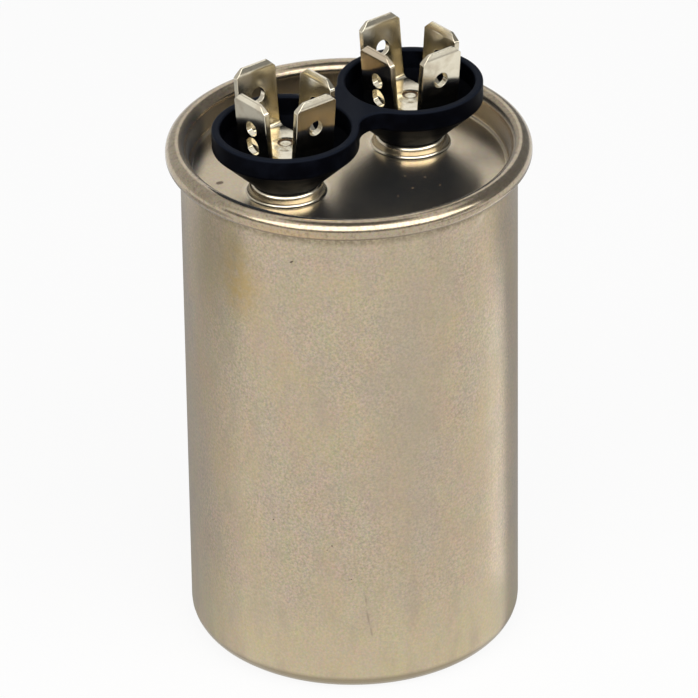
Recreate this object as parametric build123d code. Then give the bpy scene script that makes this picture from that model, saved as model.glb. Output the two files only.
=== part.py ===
from build123d import *

import math
import os

# A motor run capacitor: a round can double-seamed to a recessed cover, a black twin-cup
# insulator on two drawn bosses, and a crown of four push-on tabs riveted into each cup.
# Millimetres, +Z up, origin at the middle of the base. The terminals stand along X.

# Can
can_d = 44.45            # outside of the straight wall
case_h = 72.25           # base to the top of the seam
can_wall = 0.45          # sheet of the can
base_edge_r = 3.0        # rounding between base and wall
neck_in = 0.05           # how far the seaming roll draws the wall in under the seam
neck_run = 0.8           # height of that taper
neck_drop = 0.5          # foot of the seam down to the taper
tail_room = 3.9          # free space between the rivet tails and the sealed contents

# Cover and double seam
cover_sheet = 0.45       # sheet of the cover
seam_play = 0.025        # between neighbouring layers of the seam
hook_room = 0.58         # free width beside the cover's hook, inside the can's flange
hook_lap = 0.15          # how far the two hooks pass each other
panel_depth = 4.15       # from the top of the seam down to the panel
panel_r = 0.7            # rounding between panel and countersink wall

# Bosses drawn up from the panel
boss_d = 9.8
boss_h = 1.7
boss_bend_r = 0.3        # inside of the shoulder's bend
boss_foot_r = 0.5        # rounding between boss and panel

# Twin-cup insulator
cup_d = 19.3             # outside of the cup's band
cup_gap = 1.65           # between the two cups, bridged by the web
cup_wall = 1.08
cone_h = 4.9             # boss top to the band
band_h = 2.7             # upright band, up to the rim
floor_drop = 1.44        # band's lower edge to the cup's floor
cup_foot_d = 9.05        # where the cone stands on the boss
band_edge_r = 0.5        # rounding between cone and band
cup_floor_r = 0.8        # rounding between floor and inside wall
rim_r = 0.3              # rounding of the rim's edges
waist_w = 8.8            # narrowest width of the web between the cups
web_h = 2.4              # depth of the web below the rim
shank_d = 4.6            # hollow shank that lines the boss hole
shank_play = 0.05

# Tab straps, two in each cup, one across the other
strap_sheet = 0.8
tab_w = 6.35
strap_h = 10.05          # underside of the floor to the tips
lower_span = 10.3        # outside width at the floor
upper_span = 11.75
lower_splay = 4.5        # degrees that the tabs lean out
upper_splay = 5.5
strap_bend_r = 0.7       # inside of the bend
tip_corner = 1.1         # corners cut off the tip
tip_bevel_run = 0.8      # lead-in bevel, along the tab
tip_bevel_depth = 0.22   # lead-in bevel, into the sheet
detent_d = 2.1           # hole that the receptacle's dimple snaps into
detent_drop = 4.3        # tip to the detent hole
test_hole_d = 2.5        # second hole, only in the lower strap's tabs
test_hole_pitch = 2.6    # detent hole to the second hole

# Rivet, gasket and washer of each terminal
rivet_d = 2.4
rivet_play = 0.05
rivet_head_d = 4.0
rivet_head_h = 0.4
rivet_dimple_d = 2.0
rivet_dimple_depth = 0.25
rivet_tail_d = 3.6
rivet_tail_h = 0.5
gasket_play = 0.15       # gasket's edge to the rounding inside the boss
washer_d = 12.5
washer_h = 1.0

# Levels and radii that follow
can_r = can_d / 2
neck_r = can_r - neck_in
flange_in_r = (cover_sheet + seam_play + hook_room) / 2
flange_out_r = flange_in_r + can_wall
seam_top_r = flange_out_r + seam_play + cover_sheet
seam_axis = neck_r + flange_in_r
seam_inner = seam_axis - seam_top_r
seam_outer = seam_axis + seam_top_r
curl_top_z = case_h - seam_top_r
hook_r = neck_r + seam_play
curl_r = (seam_outer - hook_r) / 2
curl_axis = (seam_outer + hook_r) / 2
curl_low_z = curl_top_z - hook_lap
neck_top_z = curl_low_z - curl_r - neck_drop
panel_z = case_h - panel_depth
panel_under_z = panel_z - cover_sheet
boss_z = panel_z + boss_h
boss_r = boss_d / 2
boss_shoulder_r = boss_bend_r + cover_sheet
band_z = boss_z + cone_h
rim_z = band_z + band_h
floor_z = band_z - floor_drop
cup_r = cup_d / 2
bore_d = rivet_d + 2 * rivet_play
boss_hole_d = shank_d + 2 * shank_play
strap_top_z = floor_z + 2 * strap_sheet
washer_low_z = panel_under_z - washer_h
fill_h = washer_low_z - rivet_tail_h - tail_room
drill_h = 4 * strap_sheet
terminal_pitch = cup_d + cup_gap
terminals = {"left": -terminal_pitch / 2, "right": terminal_pitch / 2}


def turned(*edges):
    """Solid of revolution about Z from a closed outline of radius and height."""
    return revolve(Plane.XZ * make_face(edges), Axis.Z)


def ring(outer_d, inner_d, low, high):
    """Flat ring about Z between two levels."""
    face = Circle(outer_d / 2) - Circle(inner_d / 2)
    return extrude(Pos(0, 0, low) * face, high - low)


def make_can():
    """Drawn can with its sealed contents, and the flange that hooks into the seam."""
    wall_in = neck_r - can_wall
    flange_in = seam_axis + flange_in_r
    flange_out = seam_axis + flange_out_r
    return turned(
        Line((0, 0), (can_r - base_edge_r, 0)),
        CenterArc((can_r - base_edge_r, base_edge_r), base_edge_r, -90, 90),
        Polyline((can_r, base_edge_r), (can_r, neck_top_z - neck_run), (neck_r, neck_top_z),
                 (neck_r, curl_top_z)),
        CenterArc((seam_axis, curl_top_z), flange_in_r, 180, -180),
        Polyline((flange_in, curl_top_z), (flange_in, curl_low_z),
                 (flange_out, curl_low_z), (flange_out, curl_top_z)),
        CenterArc((seam_axis, curl_top_z), flange_out_r, 0, 180),
        Polyline((wall_in, curl_top_z), (wall_in, fill_h), (0, fill_h), (0, 0)),
    )


def sheet_ring(sheet, *edges):
    """Sheet of one thickness, to the right of a line of radius and height, turned about Z."""
    line = Wire(Curve() + list(edges))
    return revolve(Plane.XZ * make_face(offset(line, sheet, side=Side.RIGHT)), Axis.Z)


def make_cover():
    """Panel, countersink wall and seam curl from one sheet, with two drawn bosses."""
    cover = sheet_ring(
        cover_sheet,
        FilletPolyline((0, panel_z), (seam_inner, panel_z), (seam_inner, curl_top_z), radius=panel_r),
        CenterArc((seam_axis, curl_top_z), seam_top_r, 180, -180),
        Line((seam_outer, curl_top_z), (seam_outer, curl_low_z)),
        CenterArc((curl_axis, curl_low_z), curl_r, 0, -180),
        Line((hook_r, curl_low_z), (hook_r, curl_top_z)),
    )
    blank_r = boss_r + 2 * boss_foot_r
    boss = sheet_ring(
        cover_sheet,
        FilletPolyline((boss_hole_d / 2, boss_z), (boss_r, boss_z), (boss_r, panel_z), (blank_r, panel_z),
                       radius=[boss_shoulder_r, boss_foot_r]),
    )
    blank = extrude(Pos(0, 0, panel_under_z) * Circle(blank_r), cover_sheet)
    for x in terminals.values():
        cover = cover - Pos(x, 0, 0) * blank + Pos(x, 0, 0) * boss
    return cover


def make_insulator():
    """Two cups on cones, a waisted web between them and a hollow shank under each."""
    waist_r = ((terminal_pitch ** 2 + waist_w ** 2) / 4 - cup_r ** 2) / (cup_d - waist_w)
    waist_y = waist_w / 2 + waist_r
    rhombus = Polygon((-terminal_pitch / 2, 0), (0, -waist_y), (terminal_pitch / 2, 0), (0, waist_y),
                      align=None)
    web = rhombus - [Pos(0, y, 0) * Circle(waist_r) for y in (-waist_y, waist_y)]
    body = extrude(Pos(0, 0, rim_z - web_h) * web, web_h)
    cup = turned(FilletPolyline((0, boss_z), (cup_foot_d / 2, boss_z), (cup_r, band_z), (cup_r, rim_z),
                                radius=[0, band_edge_r]),
                 Polyline((cup_r, rim_z), (0, rim_z), (0, boss_z)))
    mouth_r = cup_r - cup_wall
    floor_r = mouth_r - floor_drop * (cup_r - cup_foot_d / 2) / cone_h
    hollow = turned(FilletPolyline((0, floor_z), (floor_r, floor_z), (mouth_r, band_z), (mouth_r, rim_z),
                                   radius=[cup_floor_r, 0]),
                    Polyline((mouth_r, rim_z), (0, rim_z), (0, floor_z)))
    for x in terminals.values():
        body += Pos(x, 0, 0) * cup
    for x in terminals.values():
        body -= Pos(x, 0, 0) * hollow
    body = fillet(body.faces().sort_by(Axis.Z)[-1].edges(), rim_r)
    for x in terminals.values():
        body += Pos(x, 0, 0) * ring(shank_d, bore_d, panel_under_z, boss_z)
        body -= Pos(x, 0, panel_under_z) * extrude(Circle(bore_d / 2), floor_z - panel_under_z)
    return body


def make_strap(span, splay, holes):
    """U-bent strap along X with two bevelled tabs, its floor's underside at z = 0."""
    lean = math.tan(math.radians(splay))
    tip_x = span / 2 + strap_h * lean
    line = FilletPolyline((-tip_x, strap_h), (-span / 2, 0), (span / 2, 0), (tip_x, strap_h),
                          radius=strap_bend_r + strap_sheet)
    section = Plane.XZ * make_face(offset(line, strap_sheet, side=Side.LEFT))
    strap = extrude(section, tab_w / 2, both=True)
    tips = strap.faces().sort_by(Axis.Z)[-2:]
    corners = [edge for tip in tips for edge in tip.edges().filter_by(Axis.Y, reverse=True)]
    strap = chamfer(corners, tip_corner)
    for side in (-1, 1):
        tip = strap.faces().filter_by(lambda face: side * face.center().X > 0).sort_by(Axis.Z)[-1]
        strap = chamfer(tip.edges().filter_by(Axis.Y), tip_bevel_depth, tip_bevel_run, reference=tip)
    for hole_d, hole_h in holes:
        for side in (-1, 1):
            x = side * (span / 2 + hole_h * lean)
            drill = Cylinder(hole_d / 2, drill_h, rotation=(0, 90 + side * splay, 0))
            strap -= Pos(x, 0, hole_h) * drill
    return strap - Cylinder(bore_d / 2, drill_h)


def make_rivet():
    """Low domed head with a dimple, a plain shank and a flared tail."""
    head_r = rivet_head_d / 2
    head_z = strap_top_z + rivet_head_h
    dome_r = (head_r ** 2 + rivet_head_h ** 2) / (2 * rivet_head_h)
    tail_r = rivet_tail_d / 2
    rivet = turned(
        RadiusArc((0, head_z), (head_r, strap_top_z), dome_r),
        Polyline((head_r, strap_top_z), (rivet_d / 2, strap_top_z), (rivet_d / 2, washer_low_z),
                 (tail_r, washer_low_z), (rivet_d / 2, washer_low_z - rivet_tail_h),
                 (0, washer_low_z - rivet_tail_h), (0, head_z)),
    )
    return rivet - Pos(0, 0, head_z - rivet_dimple_depth) * extrude(Circle(rivet_dimple_d / 2), rivet_head_h)


detent_h = strap_h - detent_drop
detent = (detent_d, detent_h)
lower_strap = make_strap(lower_span, lower_splay, [detent, (test_hole_d, detent_h - test_hole_pitch)])
upper_strap = make_strap(upper_span, upper_splay, [detent])
gasket_d = boss_d - 2 * boss_shoulder_r - 2 * gasket_play
gasket = ring(gasket_d, boss_hole_d, panel_under_z, boss_z - cover_sheet)
washer = ring(washer_d, bore_d, washer_low_z, panel_under_z)
rivet = make_rivet()

nodes = {
    "can": make_can(),
    "cover": make_cover(),
    "terminal_insulator": make_insulator(),
}
for name, x in terminals.items():
    nodes[name + "_lower_strap"] = Pos(x, 0, floor_z) * lower_strap
    nodes[name + "_upper_strap"] = Pos(x, 0, floor_z + strap_sheet) * Rot(0, 0, 90) * upper_strap
    nodes[name + "_terminal_rivet"] = Pos(x, 0, 0) * rivet
    nodes[name + "_gasket"] = Pos(x, 0, 0) * gasket
    nodes[name + "_inner_washer"] = Pos(x, 0, 0) * washer

os.makedirs("parts", exist_ok=True)
for name, solid in nodes.items():
    export_step(solid, f"parts/{name}.step")
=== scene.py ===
import math

import bmesh
import bpy
import numpy as np
from mathutils import Matrix, Vector


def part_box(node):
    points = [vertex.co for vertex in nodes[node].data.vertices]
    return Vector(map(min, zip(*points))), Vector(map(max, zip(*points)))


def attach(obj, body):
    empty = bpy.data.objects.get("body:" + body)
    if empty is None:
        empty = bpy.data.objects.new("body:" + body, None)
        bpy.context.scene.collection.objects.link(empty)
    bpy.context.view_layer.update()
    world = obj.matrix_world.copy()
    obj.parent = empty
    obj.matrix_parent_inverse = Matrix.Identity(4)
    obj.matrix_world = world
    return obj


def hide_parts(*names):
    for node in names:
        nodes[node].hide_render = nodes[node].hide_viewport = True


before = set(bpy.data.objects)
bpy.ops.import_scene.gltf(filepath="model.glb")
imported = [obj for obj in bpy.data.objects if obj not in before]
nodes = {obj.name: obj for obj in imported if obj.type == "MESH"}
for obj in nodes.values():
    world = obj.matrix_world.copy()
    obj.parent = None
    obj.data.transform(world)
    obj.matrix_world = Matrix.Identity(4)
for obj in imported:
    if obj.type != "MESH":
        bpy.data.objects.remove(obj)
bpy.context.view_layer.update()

mm = 0.001                       # all sizes below are in millimetres, the scene is in metres


def boxMm(node):
    low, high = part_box(node)
    return np.array(low) / mm, np.array(high) / mm


# sizes that every piece shares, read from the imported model
coverLow, coverHigh = boxMm("cover")
cupsLow, cupsHigh = boxMm("terminal_insulator")
caseTop = coverHigh[2]
seamOuter = coverHigh[0]
cupR = cupsHigh[1]
rimZ = cupsHigh[2]
terminalX = cupsHigh[0] - cupR
sides = {"left": -1, "right": 1}

# the double seam's layers: the can's flange inside the cover's curl, one sheet of each and a little play
seam = {"canWallR": 22.225, "sheet": 0.45, "neckIn": 0.05, "play": 0.025, "lap": 0.15}
neckR = seam["canWallR"] - seam["neckIn"]
flangeInR = (seamOuter - neckR - seam["play"]) / 2 - seam["sheet"]
seamTopR = flangeInR + 2 * seam["sheet"] + seam["play"]
seamInner = seamOuter - 2 * seamTopR
hookR = neckR + seam["play"]
curlR = (seamOuter - hookR) / 2
curlTop = caseTop - seamTopR
hookLow = curlTop - seam["lap"]
seamFoot = hookLow - curlR
panelZ = coverLow[2] + seam["sheet"]
print("frame read: case", round(caseTop, 2), "mm high, terminals at", round(terminalX, 2), "mm")


# Surfaces
weldReach = 1e-4                 # points closer than this are one
tiny = 1e-6                      # lengths below this count as nothing
holdRun = 0.06                   # how near to a bend a flat run gets a point
angleDigits = 9                  # decimals to which two angles are the same
placeDigits = 5                  # decimals to which two points of a flat strap are the same
sharpAngle = math.radians(50)    # edges sharper than this shade as edges


def roundedLine(corners, radii, steps=8):
    # straight runs joined by tangent arcs: each corner with a radius becomes an arc of steps + 1 points,
    # and each run keeps a point near both of its ends, so that flat stretches shade flat
    points = np.array(corners, float)
    bends = np.zeros(len(points))
    bends[1:-1] = radii
    line = [points[0]]
    for i in range(1, len(points) - 1):
        inward = points[i - 1] - points[i]
        onward = points[i + 1] - points[i]
        inward /= np.linalg.norm(inward)
        onward /= np.linalg.norm(onward)
        half = np.arccos(np.clip(inward @ onward, -1, 1)) / 2
        back = bends[i] / np.tan(half)
        centre = points[i] + (inward + onward) / np.linalg.norm(inward + onward) * bends[i] / np.sin(half)
        start = points[i] + inward * back - centre
        end = points[i] + onward * back - centre
        sweep = np.pi - 2 * half
        t = np.linspace(0, 1, steps + 1)[:, None]
        arc = centre + (np.sin((1 - t) * sweep) * start + np.sin(t * sweep) * end) / np.sin(sweep)
        line += list(arc)
    line.append(points[-1])
    line = np.array(line)
    runs = np.linalg.norm(np.diff(line, axis=0), axis=1)
    keep = np.concatenate([[True], runs > tiny])
    line = line[keep]
    runs = np.linalg.norm(np.diff(line, axis=0), axis=1)
    known = np.concatenate([[0], np.cumsum(runs)])
    long = runs > 4 * holdRun
    extra = np.concatenate([known[:-1][long] + holdRun, known[1:][long] - holdRun])
    way = np.sort(np.concatenate([known, extra]))
    return np.column_stack([np.interp(way, known, line[:, 0]), np.interp(way, known, line[:, 1])])


def gridQuads(rows, columns, closed=True):
    # four corners of each cell of a grid of points, row by row, wrapping round in the columns
    i, j = np.meshgrid(np.arange(rows - 1), np.arange(columns if closed else columns - 1), indexing="ij")
    k = (j + 1) % columns
    quads = np.stack([i * columns + j, i * columns + k, (i + 1) * columns + k, (i + 1) * columns + j], -1)
    return quads.reshape(-1, 4)


def turned(profile, angles, centre=(0, 0)):
    # radius and height carried round an upright axis: x = r cos a, y = r sin a, z
    r, z = profile[:, :1], profile[:, 1:]
    x = centre[0] + r * np.cos(angles)
    y = centre[1] + r * np.sin(angles)
    points = np.stack([x, y, z + 0 * x], -1).reshape(-1, 3)
    return points, gridQuads(len(profile), len(angles))


def joined(*parts):
    points = np.concatenate([p for p, _ in parts])
    starts = np.cumsum([0] + [len(p) for p, _ in parts[:-1]])
    return points, np.concatenate([q + s for (_, q), s in zip(parts, starts)])


def makePiece(name, surface, material, stands):
    # the grid's points and faces become a mesh, points that fall together become one,
    # and the piece takes its node's place in the frame
    points, quads = surface
    mesh = bpy.data.meshes.new(name)
    mesh.from_pydata(points * mm, [], quads)
    shape = bmesh.new()
    shape.from_mesh(mesh)
    bmesh.ops.remove_doubles(shape, verts=shape.verts, dist=weldReach * mm)
    bmesh.ops.dissolve_degenerate(shape, edges=shape.edges, dist=weldReach * mm)
    shape.to_mesh(mesh)
    shape.free()
    mesh.polygons.foreach_set("use_smooth", np.ones(len(mesh.polygons), bool))
    mesh.set_sharp_from_angle(angle=sharpAngle)
    mesh.materials.append(material)
    piece = bpy.data.objects.new(name, mesh)
    bpy.context.scene.collection.objects.link(piece)
    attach(piece, "root")
    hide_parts(stands)
    print("piece", name, len(mesh.vertices), "points,", len(mesh.polygons), "faces")
    return piece


# Finishes

class Finish:
    # a Principled material with short calls for the nodes that feed it
    def __init__(self, name):
        self.material = bpy.data.materials.new(name)
        self.material.use_nodes = True
        self.nodes = self.material.node_tree.nodes
        self.links = self.material.node_tree.links
        self.shader = self.nodes["Principled BSDF"]
        self.place = self.nodes.new("ShaderNodeTexCoord").outputs["Object"]
        split = self.nodes.new("ShaderNodeSeparateXYZ")
        self.links.new(self.place, split.inputs[0])
        self.height = self.math("DIVIDE", split.outputs["Z"], mm)
        across = self.math("POWER", split.outputs["X"], 2.0)
        across = self.math("ADD", across, self.math("POWER", split.outputs["Y"], 2.0))
        self.radius = self.math("DIVIDE", self.math("SQRT", across), mm)

    def set(self, **values):
        for socket, value in values.items():
            self.shader.inputs[socket.replace("_", " ")].default_value = value

    def feed(self, value, socket):
        if hasattr(value, "is_linked"):
            self.links.new(value, socket)
        else:
            socket.default_value = value

    def math(self, operation, a, b=0.0):
        node = self.nodes.new("ShaderNodeMath")
        node.operation = operation
        self.feed(a, node.inputs[0])
        self.feed(b, node.inputs[1])
        return node.outputs[0]

    def noise(self, size, detail, stretch=(1, 1, 1), roughness=0.5, hues=False):
        # size is the width of one patch in millimetres
        turn = self.nodes.new("ShaderNodeMapping")
        turn.inputs["Scale"].default_value = [s / (size * mm) for s in stretch]
        self.links.new(self.place, turn.inputs["Vector"])
        node = self.nodes.new("ShaderNodeTexNoise")
        node.inputs["Scale"].default_value = 1.0
        node.inputs["Detail"].default_value = detail
        node.inputs["Roughness"].default_value = roughness
        self.links.new(turn.outputs[0], node.inputs["Vector"])
        return node.outputs["Color" if hues else "Fac"]

    def ramp(self, value, low, high, start=0.0, end=1.0):
        node = self.nodes.new("ShaderNodeMapRange")
        node.interpolation_type = "SMOOTHSTEP"
        self.feed(value, node.inputs["Value"])
        for socket, number in (("From Min", low), ("From Max", high), ("To Min", start), ("To Max", end)):
            node.inputs[socket].default_value = number
        return node.outputs[0]

    def patches(self, look):
        # a noise of the look's size, spread between its two levels and held to its share
        stretch, rough = look.get("stretch", (1, 1, 1)), look.get("rough", 0.5)
        level = self.noise(look["size"], look["detail"], stretch, rough)
        return self.ramp(level, *look["levels"], *look.get("share", (0.0, 1.0)))

    def spot(self, centre, size, turn=(0, 0, 0)):
        # 1 at the centre of a turned ellipsoid of these half sizes, fading to 0 at its surface
        own = self.nodes.new("ShaderNodeMapping")
        own.vector_type = "TEXTURE"
        own.inputs["Location"].default_value = [c * mm for c in centre]
        own.inputs["Rotation"].default_value = [math.radians(angle) for angle in turn]
        own.inputs["Scale"].default_value = [s * mm for s in size]
        self.links.new(self.place, own.inputs["Vector"])
        length = self.nodes.new("ShaderNodeVectorMath")
        length.operation = "LENGTH"
        self.links.new(own.outputs[0], length.inputs[0])
        return self.ramp(length.outputs["Value"], 0.0, 1.0, 1.0, 0.0)

    def wallSpot(self, mark):
        # a spot on the can's wall: angle and height of its middle, half sizes out, along and up, and a lean
        turn = math.radians(mark["angle"])
        middle = (seam["canWallR"] * math.cos(turn), seam["canWallR"] * math.sin(turn), mark["height"])
        return self.spot(middle, mark["size"], (mark.get("lean", 0), 0, mark["angle"]))

    def largest(self, amounts):
        # the greatest of the amounts at each place
        total = amounts[0]
        for amount in amounts[1:]:
            total = self.math("MAXIMUM", total, amount)
        return total

    def blend(self, amount, a, b):
        node = self.nodes.new("ShaderNodeMix")
        node.data_type = "RGBA"
        self.feed(amount, node.inputs["Factor"])
        for value, socket in ((a, node.inputs["A"]), (b, node.inputs["B"])):
            self.feed(value if hasattr(value, "is_linked") else (*value, 1.0), socket)
        return node.outputs["Result"]

    def tint(self, base, amount, color, share=1.0):
        # the base goes over to the colour as far as the amount says, times the share
        return self.blend(self.math("MULTIPLY", amount, share), base, color)

    def mottle(self, base, look):
        # each colour of the base is raised and lowered by a noise of its own
        node = self.nodes.new("ShaderNodeMix")
        node.data_type = "RGBA"
        node.blend_type = "LINEAR_LIGHT"
        node.inputs["Factor"].default_value = look["amount"]
        self.links.new(base, node.inputs["A"])
        hues = self.noise(look["size"], look["detail"], look.get("stretch", (1, 1, 1)), hues=True)
        self.links.new(hues, node.inputs["B"])
        return node.outputs["Result"]

    def bump(self, skin):
        # relief of a fine noise, as deep in millimetres as the skin says
        node = self.nodes.new("ShaderNodeBump")
        node.inputs["Distance"].default_value = skin["depth"] * mm
        self.links.new(self.noise(skin["size"], skin["detail"]), node.inputs["Height"])
        self.links.new(node.outputs["Normal"], self.shader.inputs["Normal"])

    def color(self, value):
        self.links.new(value, self.shader.inputs["Base Color"])

    def roughness(self, value):
        self.links.new(value, self.shader.inputs["Roughness"])


# Can

can = {
    "baseRound": 3.0, "neckRun": 0.8, "neckDrop": 0.5, "neckRound": 2.0, "fillRound": 0.2, "tailRoom": 3.9,
    "turns": 288,
    "light": (0.580, 0.483, 0.356), "dark": (0.382, 0.313, 0.224), "warm": (0.520, 0.414, 0.266),
    # on the can the dark brown is painted shade, round the base and under the seam
    # the low colour is a painted highlight at the wall's foot, a painted reflection of the floor
    "low": (0.555, 0.465, 0.305), "cool": (0.40, 0.335, 0.255), "darkBrown": (0.23, 0.188, 0.120),
    "olive": (0.33, 0.28, 0.16), "stain": (0.48, 0.345, 0.145), "scuff": (0.27, 0.22, 0.16),
    "rubbed": (0.66, 0.57, 0.45), "speck": (0.10, 0.08, 0.06),
    "grain": {"size": 0.34, "detail": 3.0, "rough": 0.75, "levels": (0.25, 0.75)},
    "cloud": {"size": 7.0, "detail": 3.0, "stretch": (1, 1, 0.6), "levels": (0.35, 0.68)}, "cloudShare": 0.5,
    "smudge": {"size": 3.2, "detail": 5.0, "stretch": (1, 1, 0.45), "rough": 0.62, "levels": (0.46, 0.74)},
    "smudgeShare": 0.5,
    "hues": [
        {"size": 0.34, "detail": 1.0, "amount": 0.06},
        {"size": 3.2, "detail": 2.0, "stretch": (1, 1, 0.7), "amount": 0.03},
    ],
    "litFootRun": (3.0, 20.0), "litFootShare": 0.75,         # heights between which the painted lighter reflection at its foot fades out
    "baseShadeRun": (1.8, 2.7), "baseShadeShare": 0.75,        # heights between which painted shade at the base fades out
    "seamShadowRun": (1.9, 0.8), "seamShadowShare": 0.9,         # depths under the seam between which a painted shadow comes in
    "broken": {"size": 0.6, "detail": 4.0, "rough": 0.7, "levels": (0.35, 0.62), "share": (0.25, 1.0)},
    "ragged": {"size": 2.0, "detail": 4.0, "rough": 0.7, "levels": (0.20, 0.70)},
    "roughness": (0.28, 0.32), "skin": {"size": 0.3, "detail": 2.0, "depth": 0.004},
    "marks": {
        "cool band": {"color": "cool", "share": 0.45, "spots": [
            {"angle": -108.0, "height": 44.0, "size": (5.0, 7.5, 42.0)},
        ]},
        # the larger olive spot is a painted darker reflection; the smaller one is olive at the stain's top
        "olive stain and painted shade": {"color": "olive", "share": 0.4, "spots": [
            {"angle": -170.5, "height": 65.2, "size": (2.5, 3.6, 4.5)},
            {"angle": -186.0, "height": 62.0, "size": (5.0, 6.0, 10.0)},
        ]},
        "yellow stain": {"color": "stain", "share": 1.0, "ragged": True, "spots": [
            {"angle": -169.0, "height": 60.2, "size": (2.5, 5.2, 8.5), "lean": 6},
            {"angle": -166.5, "height": 58.5, "size": (2.5, 2.8, 5.0), "lean": -8},
        ]},
        "scuff": {"color": "scuff", "share": 0.5, "edge": (0.0, 0.9), "spots": [
            {"angle": -124.73, "height": 14.6, "size": (0.4, 0.26, 1.3), "lean": 4},
            {"angle": -124.1, "height": 11.9, "size": (0.4, 0.24, 1.8), "lean": 9},
            {"angle": -123.0, "height": 9.6, "size": (0.4, 0.22, 1.3), "lean": 9},
        ]},
        "bright rub": {"color": "rubbed", "share": 0.6, "ragged": True, "spots": [
            {"angle": -79.0, "height": 67.4, "size": (1.0, 2.6, 0.80), "lean": 35},
            {"angle": -83.5, "height": 66.4, "size": (1.0, 2.0, 0.70), "lean": 30},
        ]},
        "specks": {"color": "speck", "share": 1.0, "edge": (0.05, 0.5), "spots": [
            {"angle": -148.44, "height": 65.29, "size": (0.5, 0.40, 0.17), "lean": 30},
            {"angle": -136.1, "height": 23.0, "size": (0.4, 0.18, 0.14)},
            {"angle": -137.8, "height": 22.3, "size": (0.4, 0.12, 0.10)},
            {"angle": -157.1, "height": 25.7, "size": (0.4, 0.16, 0.13)},
            {"angle": -129.6, "height": 17.9, "size": (0.4, 0.13, 0.11)},
        ]},
    },
}


def canMetal():
    # satin drawn metal: fine light and dark grain, cloudy patches and smudges, a painted lighter reflection
    # towards the foot, painted shade round the base and a painted shadow under the seam, then the marks in
    # turn
    f = Finish("can_metal")
    f.set(Metallic=1.0)
    cloud = f.patches(can["cloud"])
    base = f.blend(f.patches(can["grain"]), can["dark"], can["light"])
    base = f.tint(base, cloud, can["warm"], can["cloudShare"])
    # painted highlight: the wall lighter towards its foot
    base = f.blend(f.ramp(f.height, *can["litFootRun"], can["litFootShare"], 0.0), base, can["low"])
    for hue in can["hues"]:
        base = f.mottle(base, hue)
    base = f.tint(base, f.patches(can["smudge"]), can["cool"], can["smudgeShare"])
    # painted shade: the base's edge darker, as the reflected shadow of the table
    base = f.blend(f.ramp(f.height, *can["baseShadeRun"], can["baseShadeShare"], 0.0), base, can["darkBrown"])
    # painted shadow under the seam, broken up by a noise
    under = f.ramp(f.height, *(seamFoot - depth for depth in can["seamShadowRun"]), 0.0, can["seamShadowShare"])
    base = f.tint(base, f.math("MULTIPLY", under, f.patches(can["broken"])), can["darkBrown"])
    ragged = f.patches(can["ragged"])
    for mark in can["marks"].values():
        amount = f.largest([f.wallSpot(spot) for spot in mark["spots"]])
        if "edge" in mark:
            amount = f.ramp(amount, *mark["edge"])
        if "ragged" in mark:
            amount = f.math("MULTIPLY", amount, ragged)
        base = f.tint(base, amount, can[mark["color"]], mark["share"])
    f.color(base)
    f.roughness(f.ramp(cloud, 0.0, 1.0, *can["roughness"]))
    f.bump(can["skin"])
    return f.material


def makeCan():
    # closed half section from the middle of the base, up the wall, over the hooked flange and down inside
    wallR, sheet = seam["canWallR"], seam["sheet"]
    neckTop = seamFoot - can["neckDrop"]
    flangeIn = neckR + 2 * flangeInR
    flangeOut = flangeIn + sheet
    inTop = curlTop + flangeInR
    inside = neckR - sheet
    fillTop = boxMm("left_terminal_rivet")[0][2] - can["tailRoom"]
    outer = roundedLine(
        [(0, 0), (wallR, 0), (wallR, neckTop - can["neckRun"]), (neckR, neckTop),
         (neckR, inTop), (flangeIn, inTop), (flangeIn, hookLow)],
        [can["baseRound"], can["neckRound"], can["neckRound"], flangeInR, flangeInR])
    inner = roundedLine(
        [(flangeOut, hookLow), (flangeOut, inTop + sheet), (inside, inTop + sheet),
         (inside, fillTop), (0, fillTop)],
        [flangeInR + sheet, flangeInR + sheet, can["fillRound"]])
    angles = np.linspace(0, 2 * np.pi, can["turns"], endpoint=False)
    surface = turned(np.concatenate([outer, inner]), angles)
    return makePiece("canShell", surface, canMetal(), "can")


makeCan()


# Cover and insulator, whose sizes stand together because the bosses carry the cups

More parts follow.
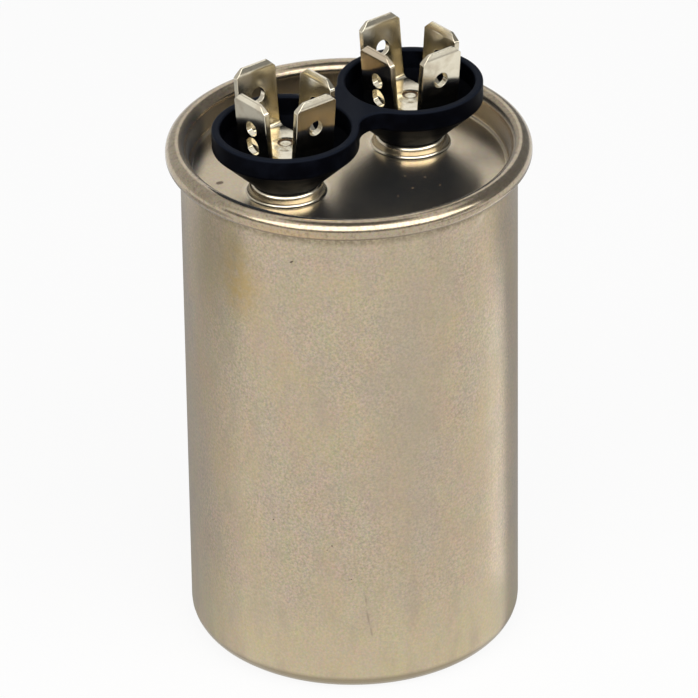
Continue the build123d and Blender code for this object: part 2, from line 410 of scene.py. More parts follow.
insulator = {
    "wall": 1.08, "bandH": 2.7, "coneH": 4.9, "floorDrop": 1.44, "footR": 4.525, "shankR": 2.3, "boreR": 1.25,
    "waistW": 8.8, "webH": 2.4,
    "bandEdge": 0.5, "floorRound": 0.8, "mouthRound": 0.3, "rimRound": 0.3, "boreEdge": 0.1, "footEdge": 0.08,
    "shankEdge": 0.05,
    "chordSteps": 16, "waistSteps": 24, "roundSteps": 128, "rimSteps": 7,
    # the lightest of these colours is painted light on the top edges
    "black": (0.0012, 0.0014, 0.0026), "grey": (0.0032, 0.0040, 0.0070), "litTop": (0.0095, 0.0120, 0.0190),
    "bloom": {"size": 3.0, "detail": 4.0, "levels": (0.4, 0.75)},
    "litTopRun": (0.35, 0.05),                         # depths under the rim between which the painted highlight on the top edges comes in
    "sheen": 0.015, "roughness": (0.40, 0.52), "skin": {"size": 0.25, "detail": 2.0, "depth": 0.008},
}
cover = {
    "panelRound": 0.7, "panelLand": 0.3, "bossR": 4.9, "bossHoleR": 2.35, "bossShoulderR": 0.75,
    "bossFootR": 0.5, "blankR": 5.9, "spread": (0.02, 0.5, 0.98, 1.0),
    "chordSteps": 64, "arcSteps": 144, "seamSteps": 12, "bossSteps": 10, "underSteps": 6,
    # the lightest colour on the next line is a painted highlight on the bosses
    "tin": (0.53, 0.447, 0.318), "dull": (0.44, 0.365, 0.255), "drawn": (0.74, 0.665, 0.515),
    # on the next line the near black is a painted dark reflection of the cup, and the shade is painted shade
    "tarnish": (0.41, 0.335, 0.24), "reflectedDark": (0.06, 0.054, 0.048), "shade": (0.24, 0.20, 0.15),
    # the dark brown is dirt in the seam's speckle and a painted shadow at the seam's foot
    "speck": (0.22, 0.12, 0.035), "warm": (0.62, 0.42, 0.20), "darkBrown": (0.17, 0.125, 0.08),
    "cloud": {"size": 4.0, "detail": 2.0, "levels": (0.15, 0.85)}, "cloudShare": 0.5,
    "worn": {"size": 1.6, "detail": 4.0, "levels": (0.30, 0.65), "share": (0.15, 0.75)},
    "speckle": {"size": 0.55, "detail": 4.0, "rough": 0.7, "levels": (0.46, 0.70)}, "speckleShare": 0.4,
    "hue": {"size": 0.34, "detail": 1.0, "amount": 0.06},
    "outerRun": (0.8, 0.2),                          # depths in from the seam's outside where its wall begins
    "curlRun": 0.9, "curlShare": 0.8,                # tarnish on that wall, fading out above the curl
    "crownRun": (2.2, 1.2),                          # depths under the seam's top where its crown begins
    "rimRun": (-0.1, 0.3), "footShadowIn": (0.3, 0.8),     # past the seam's inside: where its speckle and the painted shadow at its foot begin
    "footShadowRun": (0.25, 0.7), "footShadowShare": 0.7,        # heights above the foot where the painted shadow fades out
    "bossHighlightSpot": (7.5, 7.5, 9.0), "bossHighlightEdge": (0.08, 0.32),
    "warmed": {"angle": -147.0, "height": 70.0, "size": (4.0, 10.0, 2.0)}, "warmShare": 0.9,
    # a painted dark reflection on the recess's left wall
    "reflectedDarkSpot": {"angle": 136.0, "height": 69.6, "size": (4.5, 15.0, 5.5)},
    "reflectedDarkEdge": (0.05, 0.4), "reflectedDarkShare": 0.85, "reflectedDarkRun": (0.3, 1.2),
    "shaded": [((18.3, -6.4), (4.2, 6.5, 2.5), 0.8), ((15.2, -9.6), (5.2, 5.2, 2.5), 0.65)],
    "specks": [((-15.94, 7.22), (0.85, 0.62, 0.5)), ((2.48, -10.19), (0.24, 0.20, 0.3)),
               ((5.65, -8.88), (0.18, 0.22, 0.3)), ((3.82, -6.97), (0.16, 0.16, 0.3)),
               ((5.74, -11.86), (0.20, 0.16, 0.3)), ((-0.37, -10.66), (0.16, 0.18, 0.3))],
    "speckEdge": (0.1, 0.6),
    "haze": 0.12, "hazeTint": (0.90, 0.95, 1.0, 1.0),
    "roughness": (0.225, 0.25), "seamRoughness": (0.19, 0.22),
    "rolledRun": (0.8, 2.4),                         # heights above the panel where the seam's comes in
    "skin": {"size": 0.5, "detail": 1.0, "depth": 0.0006},
}


def coverMetal():
    # tinned sheet, a blurred mirror under a faint haze: a painted highlight lightens the bosses; tarnished
    # and speckled on the seam, with a warm stain there and a painted shadow at its foot; a painted dark
    # reflection on the recess's left wall, painted shade patches at the right of the panel and a few brown
    # specks
    f = Finish("cover_metal")
    f.set(Sheen_Weight=cover["haze"], Sheen_Tint=cover["hazeTint"])
    cloud = f.patches(cover["cloud"])
    base = f.tint(cover["tin"], cloud, cover["dull"], cover["cloudShare"])
    outer = f.ramp(f.radius, *(seamOuter - depth for depth in cover["outerRun"]))
    curl = f.ramp(f.height, curlTop, curlTop + cover["curlRun"], cover["curlShare"], 0.0)
    crown = f.ramp(f.height, *(caseTop - depth for depth in cover["crownRun"]))
    worn = f.largest([f.math("MULTIPLY", outer, curl), f.math("MULTIPLY", crown, f.patches(cover["worn"]))])
    base = f.blend(worn, base, cover["tarnish"])
    # painted highlight: the bosses lighter
    for sign in sides.values():
        boss = f.spot((sign * terminalX, 0, panelZ), cover["bossHighlightSpot"])
        base = f.blend(f.ramp(boss, *cover["bossHighlightEdge"]), base, cover["drawn"])
    base = f.tint(base, f.wallSpot(cover["warmed"]), cover["warm"], cover["warmShare"])
    # painted dark reflection: the recess's left wall darkened near the seam
    inner = f.ramp(f.radius, *(seamInner + past for past in cover["reflectedDarkRun"]), 1.0, 0.0)
    reflectedDarkSpot = f.ramp(f.wallSpot(cover["reflectedDarkSpot"]), *cover["reflectedDarkEdge"])
    base = f.tint(base, f.math("MULTIPLY", reflectedDarkSpot, inner), cover["reflectedDark"], cover["reflectedDarkShare"])
    # painted shade: darker patches on the right of the panel
    for (x, y), size, share in cover["shaded"]:
        base = f.tint(base, f.spot((x, y, panelZ), size), cover["shade"], share)
    base = f.mottle(base, cover["hue"])
    rim = f.ramp(f.radius, *(seamInner + past for past in cover["rimRun"]), 0.0, cover["speckleShare"])
    base = f.tint(base, f.patches(cover["speckle"]), cover["darkBrown"], rim)
    # painted shadow along the seam's outer foot
    footShadow = f.ramp(f.height, *(seamFoot + rise for rise in cover["footShadowRun"]), cover["footShadowShare"], 0.0)
    footShadowIn = f.ramp(f.radius, *(seamInner + past for past in cover["footShadowIn"]))
    base = f.tint(base, footShadow, cover["darkBrown"], footShadowIn)
    spots = [f.spot((x, y, panelZ), size) for (x, y), size in cover["specks"]]
    dots = f.largest([f.ramp(spot, *cover["speckEdge"]) for spot in spots])
    f.color(f.blend(dots, base, cover["speck"]))
    f.links.new(f.math("SUBTRACT", 1.0, dots), f.shader.inputs["Metallic"])
    rolled = f.ramp(f.height, *(panelZ + rise for rise in cover["rolledRun"]))
    flat = f.ramp(cloud, 0.0, 1.0, *cover["roughness"])
    seamed = f.ramp(cloud, 0.0, 1.0, *cover["seamRoughness"])
    f.roughness(f.math("ADD", f.math("MULTIPLY", seamed, rolled),
                       f.math("MULTIPLY", flat, f.math("SUBTRACT", 1.0, rolled))))
    f.bump(cover["skin"])
    return f.material


def makeCover():
    # the seam curl is turned; the panel is ruled from each boss out to its half of the panel's edge
    c = cover
    s = seam["sheet"]
    top, under, bossZ = panelZ, panelZ - s, rimZ - insulator["bandH"] - insulator["coneH"]
    flatR = seamInner - c["panelRound"] - c["panelLand"]
    above = roundedLine(
        [(flatR, top), (seamInner, top), (seamInner, caseTop), (seamOuter, caseTop),
         (seamOuter, seamFoot), (hookR, seamFoot), (hookR, curlTop)],
        [c["panelRound"], seamTopR, seamTopR, curlR, curlR], c["seamSteps"])
    below = roundedLine(
        [(hookR + s, curlTop), (hookR + s, seamFoot + s), (seamOuter - s, seamFoot + s),
         (seamOuter - s, caseTop - s), (seamInner + s, caseTop - s), (seamInner + s, under), (flatR, under)],
        [curlR - s, curlR - s, seamTopR - s, seamTopR - s, c["panelRound"] + s], c["underSteps"])
    ringProfile = np.concatenate([above, below])[::-1]

    # rays from the right boss: first to the middle chord, then to the panel's round edge
    corner = math.atan2(flatR, -terminalX)
    chord = np.linspace(corner, 2 * np.pi - corner, c["chordSteps"], endpoint=False)
    arc = np.linspace(-corner, corner, c["arcSteps"], endpoint=False)
    rays = np.concatenate([chord, arc])
    toChord = -terminalX / np.cos(chord)
    toArc = np.sqrt(flatR ** 2 - (terminalX * np.sin(arc)) ** 2) - terminalX * np.cos(arc)
    reach = np.concatenate([toChord, toArc])

    bossTop = roundedLine(
        [(c["bossHoleR"], bossZ), (c["bossR"], bossZ), (c["bossR"], top), (c["blankR"], top)],
        [c["bossShoulderR"], c["bossFootR"]], c["bossSteps"])
    bossUnder = roundedLine(
        [(c["blankR"], under), (c["bossR"] - s, under), (c["bossR"] - s, bossZ - s),
         (c["bossHoleR"], bossZ - s)],
        [c["bossFootR"] + s, c["bossShoulderR"] - s], c["underSteps"])
    spread = np.array(c["spread"])[:, None]
    radius = np.concatenate([
        c["blankR"] + spread[::-1] * (reach - c["blankR"]),
        np.repeat(np.concatenate([bossTop[::-1, 0], bossUnder[::-1, 0]])[:, None], len(rays), 1),
        c["blankR"] + spread * (reach - c["blankR"]),
    ])
    height = np.concatenate([np.full(len(spread), top), bossTop[::-1, 1],
                             bossUnder[::-1, 1], np.full(len(spread), under)])
    x = terminalX + radius * np.cos(rays)
    y = radius * np.sin(rays)
    half = np.stack([x, y, height[:, None] + 0 * x], -1).reshape(-1, 3)
    quads = gridQuads(len(height), len(rays))
    mirrored = half * (-1, 1, 1)

    # the seam is turned through the same angles as the panel's edge points, so that the two weld
    edgeX, edgeY = x[0, c["chordSteps"]:], y[0, c["chordSteps"]:]
    edge = np.concatenate([np.arctan2(edgeY, edgeX), [np.pi / 2]])
    around = np.concatenate([edge, np.pi - edge])
    around = np.unique(np.round(np.mod(around, 2 * np.pi), angleDigits))
    surface = joined(turned(ringProfile, around), (half, quads), (mirrored, quads[:, ::-1]))
    return makePiece("coverSheet", surface, coverMetal(), "cover")


makeCover()


# Insulator

def insulatorBlack():
    # matte moulded thermoset with a faint grey bloom, a painted highlight that lightens its top edges, and a
    # fine grained skin
    f = Finish("insulator_black")
    f.set(Specular_IOR_Level=insulator["sheen"])
    bloom = f.patches(insulator["bloom"])
    base = f.blend(bloom, insulator["black"], insulator["grey"])
    # painted highlight: the top edges lighter
    litTopAmount = f.ramp(f.height, *(rimZ - depth for depth in insulator["litTopRun"]))
    f.color(f.blend(litTopAmount, base, insulator["litTop"]))
    f.roughness(f.ramp(bloom, 0.0, 1.0, *insulator["roughness"]))
    f.bump(insulator["skin"])
    return f.material


def makeInsulator():
    # rays from the right cup's middle meet, in turn, the middle chord, the waist's arc, the round band and
    # the other arc; an outline drawn in by d has the band's radius less d and the waist arc's radius plus d
    n = insulator
    waistR = (terminalX ** 2 + n["waistW"] ** 2 / 4 - cupR ** 2) / (2 * cupR - n["waistW"])
    waistY = n["waistW"] / 2 + waistR
    tangent = np.pi - math.atan2(waistY, terminalX)

    def outline(d):
        corner = np.pi - math.atan2(n["waistW"] / 2 - d, terminalX)
        chord = np.linspace(corner, 2 * np.pi - corner, n["chordSteps"], endpoint=False)
        lowArc = np.linspace(-corner, -tangent, n["waistSteps"], endpoint=False)
        band = np.linspace(-tangent, tangent, n["roundSteps"], endpoint=False)
        highArc = np.linspace(tangent, corner, n["waistSteps"], endpoint=False)

        def toWaist(rays, y):
            along = -terminalX * np.cos(rays) + y * np.sin(rays)
            off = terminalX ** 2 + y ** 2 - along ** 2
            return along - np.sqrt(np.maximum((waistR + d) ** 2 - off, 0))

        rays = np.concatenate([chord, lowArc, band, highArc])
        reach = np.concatenate([-terminalX / np.cos(chord), toWaist(lowArc, -waistY),
                                np.full(len(band), cupR - d), toWaist(highArc, waistY)])
        return rays, reach

    bandZ = rimZ - n["bandH"]
    bossZ = bandZ - n["coneH"]
    floorZ = bandZ - n["floorDrop"]
    mouthR = cupR - n["wall"]
    floorR = mouthR - n["floorDrop"] * (cupR - n["footR"]) / n["coneH"]
    webZ = rimZ - n["webH"]
    shankLow = cupsLow[2]
    inside = roundedLine(
        [(n["boreR"], shankLow), (n["boreR"], floorZ), (floorR, floorZ), (mouthR, bandZ), (mouthR, rimZ),
         (cupR - n["wall"] / 2, rimZ)],
        [n["boreEdge"], n["floorRound"], n["mouthRound"], n["rimRound"]])
    outside = roundedLine(
        [(cupR, webZ), (cupR, bandZ), (n["footR"], bossZ), (n["shankR"], bossZ), (n["shankR"], shankLow)],
        [n["bandEdge"], n["footEdge"], n["shankEdge"]])
    bend = np.linspace(np.pi / 2, 0, n["rimSteps"])
    rimIn = n["rimRound"] * (1 - np.cos(bend))
    rimDrop = n["rimRound"] * (1 - np.sin(bend))

    rays0, reach0 = outline(0.0)
    plainRays = np.repeat(rays0[None], len(inside), 0)
    rows = [(plainRays, np.repeat(inside[:, :1], len(rays0), 1), inside[:, 1])]
    held = outline(n["rimRound"] + holdRun)
    rows.append((held[0][None], held[1][None], [rimZ]))
    for d, drop in zip(rimIn, rimDrop):
        rays, reach = outline(d)
        rows.append((rays[None], reach[None], [rimZ - drop]))
    for z in (rimZ - n["rimRound"] - holdRun, webZ + holdRun, webZ):
        rows.append((rays0[None], reach0[None], [z]))
    plainRays = np.repeat(rays0[None], len(outside), 0)
    rows.append((plainRays, np.repeat(outside[:, :1], len(rays0), 1), outside[:, 1]))
    rows.append((rays0[None], np.full((1, len(rays0)), n["boreR"]), [shankLow]))
    rays = np.concatenate([r for r, _, _ in rows])
    reach = np.concatenate([r for _, r, _ in rows])
    height = np.concatenate([z for _, _, z in rows])
    x = terminalX + reach * np.cos(rays)
    y = reach * np.sin(rays)
    x[np.abs(x) < tiny] = 0
    half = np.stack([x, y, height[:, None] + 0 * x], -1).reshape(-1, 3)
    quads = gridQuads(len(height), len(rays0))[:, ::-1]
    cut = (half[quads][..., 0] == 0).all(1)          # faces in the chord's own plane are inside the web
    quads = quads[~cut]
    surface = joined((half, quads), (half * (-1, 1, 1), quads[:, ::-1]))
    return makePiece("terminalInsulator", surface, insulatorBlack(), "terminal_insulator")


makeInsulator()


# Tab straps
strap = {
    "sheet": 0.8, "width": 6.35, "height": 10.05, "bendR": 0.7, "corner": 1.1,
    "bevelRun": 0.8, "bevelDepth": 0.22, "edgeRound": 0.07,
    "detentD": 2.1, "detentDrop": 4.3, "testHoleD": 2.5, "testHolePitch": 2.6, "boreD": 2.5, "holeLand": 0.12,
    "across": 12, "step": 0.2, "edgeSteps": 2,
    "tin": (0.75, 0.695, 0.555), "dull": (0.54, 0.455, 0.335),
    "cloud": {"size": 2.2, "detail": 3.0, "levels": (0.4, 0.75)}, "cloudShare": 0.6,
    "tarnished": ((5.0, 0.0, 83.0), (1.6, 4.5, 5.5)), "tarnishEdge": (0.0, 0.4),
    "roughness": (0.15, 0.22), "skin": {"size": 0.6, "detail": 2.0, "depth": 0.002},
}
strapKinds = {
    "lower": {"span": 10.3, "splay": 4.5, "turn": 0, "testHole": True},
    "upper": {"span": 11.75, "splay": 5.5, "turn": 90, "testHole": False},
}


def tabMetal():
    # bright tin plate with a little cloudy tarnish, and one leg duller than the rest
    f = Finish("tab_metal")
    f.set(Metallic=1.0)
    cloud = f.patches(strap["cloud"])
    base = f.tint(strap["tin"], cloud, strap["dull"], strap["cloudShare"])
    f.color(f.blend(f.ramp(f.spot(*strap["tarnished"]), *strap["tarnishEdge"]), base, strap["dull"]))
    f.roughness(f.ramp(cloud, 0.0, 1.0, *strap["roughness"]))
    f.bump(strap["skin"])
    return f.material


def plainBlock(s0, s1, w0, w1):
    # stretch of flat strap from s0 to s1 whose half width goes evenly from w0 to w1
    u = np.linspace(0, 1, max(2, round(abs(s1 - s0) / strap["step"]) + 1))[:, None]
    across = np.linspace(-1, 1, strap["across"] + 1)
    flat = np.stack([s0 + u * (s1 - s0) + 0 * across, (w0 + u * (w1 - w0)) * across], -1)
    return flat.reshape(-1, 2), gridQuads(len(u), len(across), False)[:, ::-1]


def holeBlock(middle, holeD, halfWidth):
    # square of flat strap ruled from a round hole out to its four edges
    reach = holeD / 2 + strap["holeLand"]
    along = np.linspace(-1, 1, strap["across"] + 1)[:-1]
    one = np.ones(len(along))
    edge = np.concatenate([np.stack([one, along], -1), np.stack([-along, one], -1),
                           np.stack([-one, -along], -1), np.stack([along, -one], -1)])
    edge = edge * (reach, halfWidth)
    hole = edge / np.linalg.norm(edge, axis=1, keepdims=True) * holeD / 2
    flat = np.concatenate([hole, edge]) + (middle, 0)
    return flat, gridQuads(2, len(edge))[:, ::-1]


def bentStrap(kind):
    # the flat strap laid on a floor, two tangent arcs and two leaning legs, then thickened both ways from
    # its middle sheet
    g = strap
    lean = math.radians(kind["splay"])
    turn = np.pi / 2 - lean
    outR, midR = g["bendR"] + g["sheet"], g["bendR"] + g["sheet"] / 2
    setback = outR * math.tan(turn / 2)
    floorEnd = kind["span"] / 2 - setback
    legStart = floorEnd + midR * turn
    corner = legStart - setback                      # where the leg would meet the floor's underside
    tip = corner + g["height"] / math.cos(lean)
    half = g["width"] / 2
    detent = tip - g["detentDrop"] / math.cos(lean)
    holes = [(detent, g["detentD"])]
    if kind["testHole"]:
        holes.insert(0, (detent - g["testHolePitch"] / math.cos(lean), g["testHoleD"]))
    floorHole = g["boreD"] / 2 + g["holeLand"]
    blocks, last = [], floorHole
    for middle, holeD in holes:
        reach = holeD / 2 + g["holeLand"]
        blocks += [plainBlock(last, middle - reach, half, half), holeBlock(middle, holeD, half)]
        last = middle + reach
    blocks += [plainBlock(last, tip - g["corner"], half, half),
               plainBlock(tip - g["corner"], tip, half, half - g["corner"])]
    legs = [joined(*blocks)]
    legs.append((legs[0][0] * (-1, 1), legs[0][1][:, ::-1]))
    flat, quads = joined(holeBlock(0.0, g["boreD"], half), *legs)
    rounded = np.round(flat, placeDigits) + 0.0
    _, first, same = np.unique(rounded, axis=0, return_index=True, return_inverse=True)
    flat, quads = flat[first], same.reshape(-1)[quads]

    side, way = np.sign(flat[:, 0]), np.abs(flat[:, 0])
    arc = np.clip((way - floorEnd) / midR, 0, turn)
    leg = np.maximum(way - legStart, 0)
    x = side * (np.minimum(way, floorEnd) + midR * np.sin(arc) + leg * math.sin(lean))
    z = g["sheet"] / 2 + midR * (1 - np.cos(arc)) + leg * math.cos(lean)
    middle = np.stack([x, flat[:, 1], z], -1)
    normal = np.stack([-side * np.sin(arc), 0 * arc, np.cos(arc)], -1)
    bevel = np.clip((way - tip + g["bevelRun"]) / g["bevelRun"], 0, 1) * g["bevelDepth"]
    depth = (g["sheet"] / 2 - bevel)[:, None]

    # a wall joins both faces along every edge that only one quad has
    edges = np.stack([quads, np.roll(quads, -1, axis=1)], -1).reshape(-1, 2)
    _, index, count = np.unique(np.sort(edges, axis=1), axis=0, return_index=True, return_counts=True)
    a, b = edges[index[count == 1]].T
    n = len(middle)
    points = np.concatenate([middle + normal * depth, middle - normal * depth])
    return points, np.concatenate([quads, quads[:, ::-1] + n, np.stack([a, a + n, b + n, b], -1)])


tabFinish = tabMetal()
for sideName, sign in sides.items():
    for kindName, kind in strapKinds.items():
        node = f"{sideName}_{kindName}_strap"
        points, quads = bentStrap(kind)
        turn = np.radians(kind["turn"])
        spin = np.array([[np.cos(turn), -np.sin(turn), 0], [np.sin(turn), np.cos(turn), 0], [0, 0, 1]])
        points = points @ spin.T + (sign * terminalX, 0, boxMm(node)[0][2])
        piece = makePiece(f"{sideName}{kindName.title()}Strap", (points, quads), tabFinish, node)
        edge = piece.modifiers.new("stamped edge", "BEVEL")
        edge.width = strap["edgeRound"] * mm
        edge.segments = strap["edgeSteps"]
        edge.limit_method = "ANGLE"
        edge.angle_limit = sharpAngle
        edge.harden_normals = True


# Rivets
rivet = {
    "headR": 2.0, "headH": 0.4, "dimpleR": 1.0, "dimpleDepth": 0.25, "shankR": 1.2,
    "tailR": 1.8, "tailH": 0.5, "tailEdge": 0.05, "headEdge": 0.03, "dimpleEdge": 0.05, "dimpleRound": 0.08,
    "domeSteps": 14, "turns": 96,
    "tin": (0.74, 0.70, 0.56), "dull": (0.52, 0.45, 0.32), "darkBrown": (0.12, 0.075, 0.04),
    "cloud": {"size": 0.8, "detail": 3.0, "levels": (0.35, 0.7)},
    "broken": {"size": 1.3, "detail": 2.0, "levels": (0.28, 0.44)},
    "ringTall": 50.0, "ringOut": (0.36, 0.46), "ringIn": (0.62, 0.80),
    "roughness": (0.20, 0.26), "skin": {"size": 0.3, "detail": 2.0, "depth": 0.004},
}


def rivetMetal():
    # tin plate, dulled by the tool that set it, with brown dirt round the dimple
    f = Finish("rivet_metal")
    f.set(Metallic=1.0)
    cloud = f.patches(rivet["cloud"])
    base = f.blend(cloud, rivet["tin"], rivet["dull"])
    broken = f.patches(rivet["broken"])
    reach = 2 * rivet["dimpleR"]
    for sign in sides.values():
        near = f.spot((sign * terminalX, 0, rimZ), (reach, reach, rivet["ringTall"]))
        ring = f.math("MULTIPLY", f.ramp(near, *rivet["ringOut"]), f.ramp(near, *rivet["ringIn"], 1.0, 0.0))
        base = f.tint(base, ring, rivet["darkBrown"], broken)
    f.color(base)
    f.roughness(f.ramp(cloud, 0.0, 1.0, *rivet["roughness"]))
    f.bump(rivet["skin"])
    return f.material


def makeRivet(name, node, sign, material):
    # half section from the tail up the shank, over the domed head and down into its dimple
    r = rivet
    low = boxMm(node)[0][2]
    strapTop = boxMm(node.replace("terminal_rivet", "upper_strap"))[0][2] + strap["sheet"]
    tailTop, headTop = low + r["tailH"], strapTop + r["headH"]
    domeR = (r["headR"] ** 2 + r["headH"] ** 2) / (2 * r["headH"])
    across = np.linspace(r["headR"], r["dimpleR"] + holdRun, r["domeSteps"])
    dome = np.column_stack([across, headTop - domeR + np.sqrt(domeR ** 2 - across ** 2)])
    body = roundedLine([(0, low), (r["shankR"], low), (r["tailR"], tailTop), (r["shankR"], tailTop),
                        (r["shankR"], strapTop), (r["headR"], strapTop)],
                       [r["tailEdge"], r["tailEdge"], r["headEdge"], r["headEdge"]])
    dimpleLow = headTop - r["dimpleDepth"]
    dimple = roundedLine([dome[-1], (r["dimpleR"], dome[-1, 1]), (r["dimpleR"], dimpleLow), (0, dimpleLow)],
                         [r["dimpleEdge"], r["dimpleRound"]])
    angles = np.linspace(0, 2 * np.pi, r["turns"], endpoint=False)
    surface = turned(np.concatenate([body[:-1], dome[:-1], dimple]), angles, (sign * terminalX, 0))
    return makePiece(name, surface, material, node)


rivetFinish = rivetMetal()
for sideName, sign in sides.items():
    makeRivet(f"{sideName}TerminalRivet", f"{sideName}_terminal_rivet", sign, rivetFinish)


# Gaskets and washers, sealed under the cover
seals = {
    "gasket": {"slot": "gasket_rubber", "grain": 0.4,
               "light": (0.035, 0.035, 0.035), "dark": (0.020, 0.020, 0.020)},
    "inner_washer": {"slot": "washer_board", "grain": 0.8,
                     "light": (0.34, 0.22, 0.12), "dark": (0.22, 0.13, 0.07)},
}
sealSkin = {"detail": 3.0, "dullDetail": 2.0, "levels": (0.3, 0.7), "roughness": (0.6, 0.8)}
for sealName, look in seals.items():
    f = Finish(look["slot"])
    f.color(f.blend(f.noise(look["grain"], sealSkin["detail"]), look["dark"], look["light"]))
    dull = f.noise(look["grain"], sealSkin["dullDetail"])
    f.roughness(f.ramp(dull, *sealSkin["levels"], *sealSkin["roughness"]))
    for sideName in sides:
        node = nodes[f"{sideName}_{sealName}"]
        node.data.materials.clear()
        node.data.materials.append(f.material)
print("finishes on the sealed pieces")


# Floor, light and camera
stage = {
    "floor": (0.90, 0.90, 0.89), "floorHalf": 3000, "floorGlow": 0.90,
    "worldSeen": 1.0, "worldLight": 0.35,
    "softboxSize": (2200, 420), "softboxTurn": 9, "softboxOut": 420, "softboxHeight": 460,
    "softboxPower": 7.5,
    "cardReach": 900, "cardGrid": (13, 49), "matHeight": 0.4, "matGrid": (9, 33),
}
# grey cards round the table, seen only in the metal: turn from the camera's side, rise, and grey
cards = {
    "overhead": {"turn": (-180, 180), "rise": (70, 90), "grey": 0.12},
    "low front": {"turn": (-80, 80), "rise": (1, 21), "grey": 0.22},
    "left back": {"turn": (-172, -85), "rise": (0.5, 55), "grey": 0.58},
    "right back": {"turn": (85, 172), "rise": (0.5, 55), "grey": 0.20},
}
# mats on the table, seen only in the metal: turn and heights of the wall that mirrors each, and its grey
mats = {
    "left mat": {"turn": (-90, -80), "rise": (0, 75), "grey": 0.37},
    "left second mat": {"turn": (-80, -71), "rise": (0, 75), "grey": 0.49},
    "left third mat": {"turn": (-71, -60), "rise": (0, 75), "grey": 0.60},
    "left fourth mat": {"turn": (-60, -52), "rise": (0, 57), "grey": 0.73},
    "left fifth mat": {"turn": (-52, -44), "rise": (0, 57), "grey": 0.85},
    "left far mat": {"turn": (-60, -40), "rise": (57, 120), "grey": 0.50},
    "right far mat": {"turn": (26, 46), "rise": (110, 210), "grey": 0.55},
    "right near mat": {"turn": (47, 55), "rise": (0, 75), "grey": 1.05},
    "right light": {"turn": (55, 64), "rise": (10, 60), "grey": 1.40},
    "right mat": {"turn": (66, 90), "rise": (0, 60), "grey": 0.45},
    "right top mat": {"turn": (56, 90), "rise": (60, 80), "grey": 0.45},
}
view = {
    "azimuth": -38.43, "elevation": 29.619, "roll": -0.824, "distance": 891.07,
    "aimHeight": 40.364, "aimRight": -0.345, "lens": 343.88, "sensor": 36.0, "clip": (10, 20000),
}


def rayMask(tree):
    # 1 for rays from the camera, from a mirror or through glass, and 0 for the rays that light the object
    path = tree.nodes.new("ShaderNodeLightPath")
    total = path.outputs["Is Camera Ray"]
    for name in ("Is Glossy Ray", "Is Transmission Ray"):
        add = tree.nodes.new("ShaderNodeMath")
        add.operation = "MAXIMUM"
        tree.links.new(total, add.inputs[0])
        tree.links.new(path.outputs[name], add.inputs[1])
        total = add.outputs[0]
    return total


def makeFloor():
    # wide flat square, diffuse for the shadow and partly white where it is seen
    half = stage["floorHalf"] * mm
    mesh = bpy.data.meshes.new("floor")
    corners = [(-half, -half, 0), (half, -half, 0), (half, half, 0), (-half, half, 0)]
    mesh.from_pydata(corners, [], [(0, 1, 2, 3)])
    material = bpy.data.materials.new("floor_white")
    material.use_nodes = True
    tree = material.node_tree
    tree.nodes.clear()
    diffuse = tree.nodes.new("ShaderNodeBsdfDiffuse")
    diffuse.inputs["Color"].default_value = (*stage["floor"], 1)
    glow = tree.nodes.new("ShaderNodeEmission")
    share = tree.nodes.new("ShaderNodeMath")
    share.operation = "MULTIPLY"
    share.inputs[1].default_value = stage["floorGlow"]
    tree.links.new(rayMask(tree), share.inputs[0])
    mix = tree.nodes.new("ShaderNodeMixShader")
    tree.links.new(share.outputs[0], mix.inputs[0])
    tree.links.new(diffuse.outputs[0], mix.inputs[1])
    tree.links.new(glow.outputs[0], mix.inputs[2])
    out = tree.nodes.new("ShaderNodeOutputMaterial")
    tree.links.new(mix.outputs[0], out.inputs["Surface"])
    mesh.materials.append(material)
    floor = bpy.data.objects.new("floor", mesh)
    bpy.context.scene.collection.objects.link(floor)


def makeWorld():
    world = bpy.data.worlds.new("studio")
    world.use_nodes = True
    tree = world.node_tree
    background = tree.nodes["Background"]
    background.inputs["Color"].default_value = (1, 1, 1, 1)
    strength = tree.nodes.new("ShaderNodeMapRange")
    strength.inputs["To Min"].default_value = stage["worldLight"]
    strength.inputs["To Max"].default_value = stage["worldSeen"]
    tree.links.new(rayMask(tree), strength.inputs["Value"])
    tree.links.new(strength.outputs[0], background.inputs["Strength"])
    bpy.context.scene.world = world


def makeCard(name, grid, grey):
    # plain grey surface that only mirrors see
    mesh = bpy.data.meshes.new(name)
    mesh.from_pydata(grid.reshape(-1, 3) * mm, [], gridQuads(*grid.shape[:2], False))
    material = bpy.data.materials.new(name)
    material.use_nodes = True
    tree = material.node_tree
    tree.nodes.clear()
    glow = tree.nodes.new("ShaderNodeEmission")
    glow.inputs["Color"].default_value = (grey, grey, grey, 1)
    out = tree.nodes.new("ShaderNodeOutputMaterial")
    tree.links.new(glow.outputs[0], out.inputs["Surface"])
    mesh.materials.append(material)
    card = bpy.data.objects.new(name, mesh)
    card.visible_camera = card.visible_diffuse = card.visible_shadow = False
    bpy.context.scene.collection.objects.link(card)


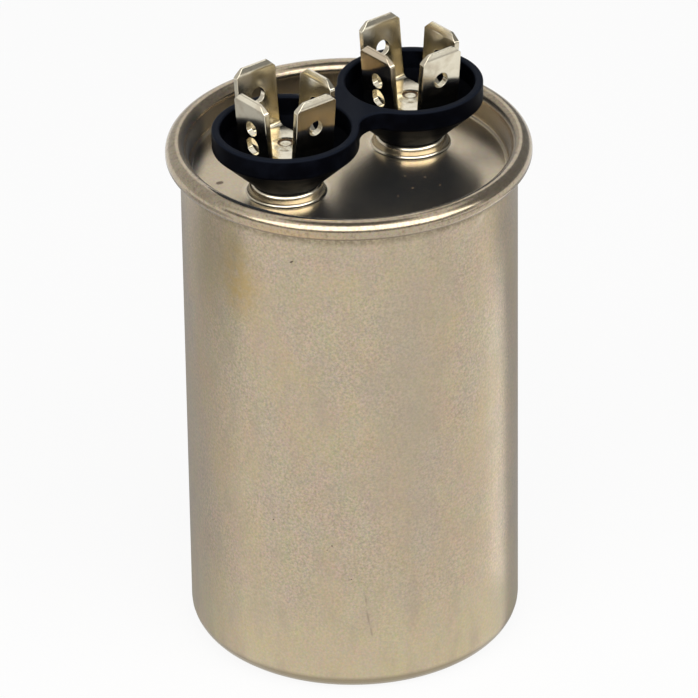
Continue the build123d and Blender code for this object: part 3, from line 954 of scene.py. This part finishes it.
def makeCards():
    # a card is a patch of a sphere about the rim: direction t round from the camera's side and rise e above
    # level give (cos e sin t, -cos e cos t, sin e); a mat lies flat where the wall at turn t mirrors the
    # table to the camera: out from the wall along the doubled turn, as far as the height over the tangent of
    # the camera's rise
    ahead = math.radians(view["azimuth"])
    for name, card in cards.items():
        rows, columns = stage["cardGrid"]
        t = ahead + np.radians(np.linspace(*card["turn"], columns))[None]
        e = np.radians(np.linspace(*card["rise"], rows))[:, None]
        way = np.stack([np.cos(e) * np.sin(t), -np.cos(e) * np.cos(t), np.sin(e) + 0 * t], -1)
        makeCard(name, way * stage["cardReach"] + (0, 0, caseTop), card["grey"])
    for name, mat in mats.items():
        rows, columns = stage["matGrid"]
        t = np.radians(np.linspace(*mat["turn"], columns))[None]
        far = np.linspace(*mat["rise"], rows)[:, None] / math.tan(math.radians(view["elevation"]))
        x = seam["canWallR"] * np.sin(ahead + t) + far * np.sin(ahead + 2 * t)
        y = -seam["canWallR"] * np.cos(ahead + t) - far * np.cos(ahead + 2 * t)
        makeCard(name, np.stack([x, y, 0 * x + stage["matHeight"]], -1), mat["grey"])


def facing(location, target):
    # columns right, up and back of something at location that looks at target
    back = (Vector(location) - Vector(target)).normalized()
    right = Vector((0, 0, 1)).cross(back).normalized()
    return Matrix((right, back.cross(right), back)).transposed().to_4x4()


def makeSoftbox(name, location, target, size, power):
    lamp = bpy.data.lights.new(name, "AREA")
    lamp.shape = "RECTANGLE"
    lamp.size, lamp.size_y = (side * mm for side in size)
    lamp.energy = power
    box = bpy.data.objects.new(name, lamp)
    box.matrix_world = Matrix.Translation(location * mm) @ facing(location, target)
    bpy.context.scene.collection.objects.link(box)


def makeCamera():
    a, e, roll = (math.radians(view[k]) for k in ("azimuth", "elevation", "roll"))
    right = Vector((math.cos(a), math.sin(a), 0))
    back = Vector((math.sin(a) * math.cos(e), -math.cos(a) * math.cos(e), math.sin(e)))
    up = back.cross(right)
    data = bpy.data.cameras.new("camera")
    data.lens, data.sensor_width = view["lens"], view["sensor"]
    data.clip_start, data.clip_end = (far * mm for far in view["clip"])
    camera = bpy.data.objects.new("camera", data)
    rolledRight = math.cos(roll) * right + math.sin(roll) * up
    rolledUp = -math.sin(roll) * right + math.cos(roll) * up
    aim = (view["aimRight"] * right + Vector((0, 0, view["aimHeight"]))) * mm
    place = Matrix.Translation(aim + back * view["distance"] * mm)
    camera.matrix_world = place @ Matrix((rolledRight, rolledUp, back)).transposed().to_4x4()
    bpy.context.scene.collection.objects.link(camera)
    bpy.context.scene.camera = camera


makeFloor()
makeWorld()
makeCards()
towards = math.radians(view["azimuth"] + stage["softboxTurn"])
front = Vector((math.sin(towards), -math.cos(towards), 0))
softboxPlace = front * stage["softboxOut"] + Vector((0, 0, stage["softboxHeight"]))
rimPlace = Vector((0, 0, caseTop))
makeSoftbox("front softbox", softboxPlace, rimPlace, stage["softboxSize"], stage["softboxPower"])
makeCamera()
bpy.context.scene.view_settings.view_transform = "Standard"
print("floor, light and camera set")
